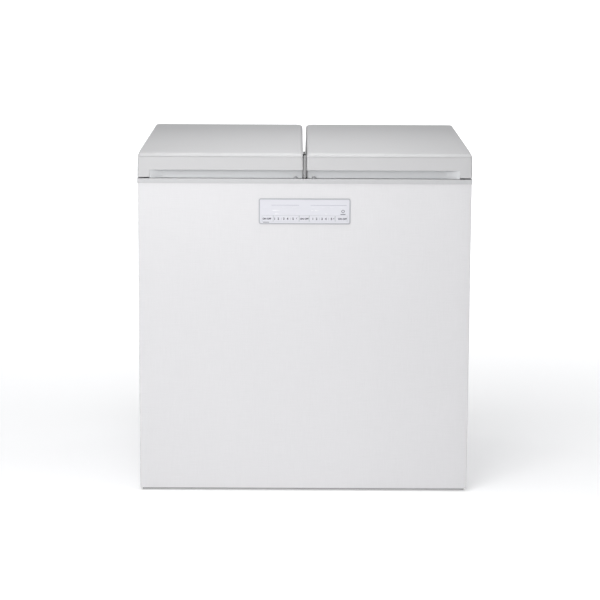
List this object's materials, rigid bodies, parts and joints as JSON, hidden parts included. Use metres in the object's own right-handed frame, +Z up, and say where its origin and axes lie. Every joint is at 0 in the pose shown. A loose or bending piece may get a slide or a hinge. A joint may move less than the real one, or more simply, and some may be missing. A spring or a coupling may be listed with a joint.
{
  "type": "chest refrigerator",
  "caption": "Chest refrigerator for kimchi: two insulated compartments under hinged lids, a control panel at the front and a machine room at the back.",
  "frame": {"origin": "on the floor, under the middle of the closed appliance", "axes": "+Z up, -Y to the front with the control panel and the finger recesses, +X to the viewer's right"},
  "size_m": [0.93, 0.776, 0.9847],
  "materials": {
    "front_panel": "satin white steel with a fine linen texture",
    "left_side_panel": "satin light grey coated steel",
    "right_side_panel": "satin light grey coated steel",
    "rear_panel": "galvanised and coated steel",
    "base_pan": "galvanised steel",
    "machine_room_lining": "galvanised steel",
    "machine_room_cover": "coated steel with louvres",
    "top_frame": "light grey satin plastic",
    "cabinet_foam": "rigid polyurethane foam",
    "left_inner_tub": "embossed aluminium",
    "right_inner_tub": "embossed aluminium",
    "left_evaporator_pipe": "drawn aluminium tube",
    "right_evaporator_pipe": "drawn aluminium tube",
    "tub_sensor_covers": "light grey plastic",
    "hinge_bases": "zinc plated steel",
    "hinge_pins": "zinc plated steel",
    "hinge_screws": "zinc plated steel",
    "centre_cover": "dark grey plastic",
    "lid_bumpers": "dark rubber",
    "control_bezel": "grey satin plastic",
    "control_fascia": "lavender white printed film",
    "display_board": "green circuit board",
    "compressor": "black enamelled steel",
    "compressor_grommets": "black rubber",
    "refrigerant_pipes": "copper tube",
    "condenser_coil": "black steel tube",
    "condenser_fins": "mill finish aluminium",
    "fan_shroud": "grey plastic",
    "fan_motor": "dark steel",
    "fan_blade": "natural white plastic",
    "main_board_box": "white plastic",
    "main_board": "green circuit board",
    "cord_gland": "black rubber",
    "cover_screws": "zinc plated steel",
    "roller_brackets": "zinc plated steel",
    "left_lid_shell": "light grey satin plastic",
    "left_lid_handle": "bluish grey satin plastic",
    "left_lid_foam": "rigid polyurethane foam",
    "left_lid_liner": "white vacuum formed plastic",
    "left_lid_gasket": "grey soft magnetic seal",
    "left_hinge_arms": "zinc plated steel",
    "left_roller": "dark grey plastic",
    "left_foot": "dark grey plastic with a steel stem",
    "right_lid_shell": "light grey satin plastic",
    "right_lid_handle": "bluish grey satin plastic",
    "right_lid_foam": "rigid polyurethane foam",
    "right_lid_liner": "white vacuum formed plastic",
    "right_lid_gasket": "grey soft magnetic seal",
    "right_hinge_arms": "zinc plated steel",
    "right_roller": "dark grey plastic",
    "right_foot": "dark grey plastic with a steel stem",
    "key_1": "lavender white printed film",
    "key_2": "lavender white printed film",
    "key_3": "lavender white printed film",
    "key_4": "lavender white printed film",
    "key_5": "lavender white printed film"
  },
  "bodies": {
    "cabinet": {"front_panel": "front_panel", "left_side_panel": "left_side_panel", "right_side_panel": "right_side_panel", "rear_panel": "rear_panel", "base_pan": "base_pan", "machine_room_lining": "machine_room_lining", "machine_room_cover": "machine_room_cover", "top_frame": "top_frame", "cabinet_foam": "cabinet_foam", "left_inner_tub": "left_inner_tub", "right_inner_tub": "right_inner_tub", "left_evaporator_pipe": "left_evaporator_pipe", "right_evaporator_pipe": "right_evaporator_pipe", "tub_sensor_covers": "tub_sensor_covers", "hinge_bases": "hinge_bases", "hinge_pins": "hinge_pins", "hinge_screws": "hinge_screws", "centre_cover": "centre_cover", "lid_bumpers": "lid_bumpers", "control_bezel": "control_bezel", "control_fascia": "control_fascia", "display_board": "display_board", "compressor": "compressor", "compressor_grommets": "compressor_grommets", "refrigerant_pipes": "refrigerant_pipes", "condenser_coil": "condenser_coil", "condenser_fins": "condenser_fins", "fan_shroud": "fan_shroud", "fan_motor": "fan_motor", "main_board_box": "main_board_box", "main_board": "main_board", "cord_gland": "cord_gland", "cover_screws": "cover_screws", "roller_brackets": "roller_brackets"},
    "left_lid": {"left_lid_shell": "left_lid_shell", "left_lid_handle": "left_lid_handle", "left_lid_foam": "left_lid_foam", "left_lid_liner": "left_lid_liner", "left_lid_gasket": "left_lid_gasket", "left_hinge_arms": "left_hinge_arms"},
    "right_lid": {"right_lid_shell": "right_lid_shell", "right_lid_handle": "right_lid_handle", "right_lid_foam": "right_lid_foam", "right_lid_liner": "right_lid_liner", "right_lid_gasket": "right_lid_gasket", "right_hinge_arms": "right_hinge_arms"},
    "condenser_fan": {"fan_blade": "fan_blade"},
    "left_wheel": {"left_roller": "left_roller"},
    "right_wheel": {"right_roller": "right_roller"},
    "left_leveller": {"left_foot": "left_foot"},
    "right_leveller": {"right_foot": "right_foot"},
    "button_1": {"key_1": "key_1"},
    "button_2": {"key_2": "key_2"},
    "button_3": {"key_3": "key_3"},
    "button_4": {"key_4": "key_4"},
    "button_5": {"key_5": "key_5"}
  },
  "joints": [
    {"name": "left_lid_hinge", "type": "hinge", "parent": "cabinet", "child": "left_lid", "pos_m": [-0.235, 0.366, 0.909], "axis": [-1, 0, 0], "range_deg": [0, 80]},
    {"name": "right_lid_hinge", "type": "hinge", "parent": "cabinet", "child": "right_lid", "pos_m": [0.235, 0.366, 0.909], "axis": [-1, 0, 0], "range_deg": [0, 80]},
    {"name": "key_1_press", "type": "slide", "parent": "cabinet", "child": "button_1", "axis": [0, 1, 0], "range_m": [0, 0.0006], "stiffness_N_per_m": 500},
    {"name": "key_2_press", "type": "slide", "parent": "cabinet", "child": "button_2", "axis": [0, 1, 0], "range_m": [0, 0.0006], "stiffness_N_per_m": 500},
    {"name": "key_3_press", "type": "slide", "parent": "cabinet", "child": "button_3", "axis": [0, 1, 0], "range_m": [0, 0.0006], "stiffness_N_per_m": 500},
    {"name": "key_4_press", "type": "slide", "parent": "cabinet", "child": "button_4", "axis": [0, 1, 0], "range_m": [0, 0.0006], "stiffness_N_per_m": 500},
    {"name": "key_5_press", "type": "slide", "parent": "cabinet", "child": "button_5", "axis": [0, 1, 0], "range_m": [0, 0.0006], "stiffness_N_per_m": 500},
    {"name": "fan_spin", "type": "hinge", "parent": "cabinet", "child": "condenser_fan", "pos_m": [-0.15, 0.218, 0.16], "axis": [1, 0, 0], "continuous": true},
    {"name": "left_roller_spin", "type": "hinge", "parent": "cabinet", "child": "left_wheel", "pos_m": [-0.4, 0.3, 0.02], "axis": [1, 0, 0], "continuous": true},
    {"name": "right_roller_spin", "type": "hinge", "parent": "cabinet", "child": "right_wheel", "pos_m": [0.4, 0.3, 0.02], "axis": [1, 0, 0], "continuous": true},
    {"name": "left_foot_screw", "type": "slide", "parent": "cabinet", "child": "left_leveller", "axis": [0, 0, -1], "range_m": [0, 0.012]},
    {"name": "right_foot_screw", "type": "slide", "parent": "cabinet", "child": "right_leveller", "axis": [0, 0, -1], "range_m": [0, 0.012]}
  ]
}
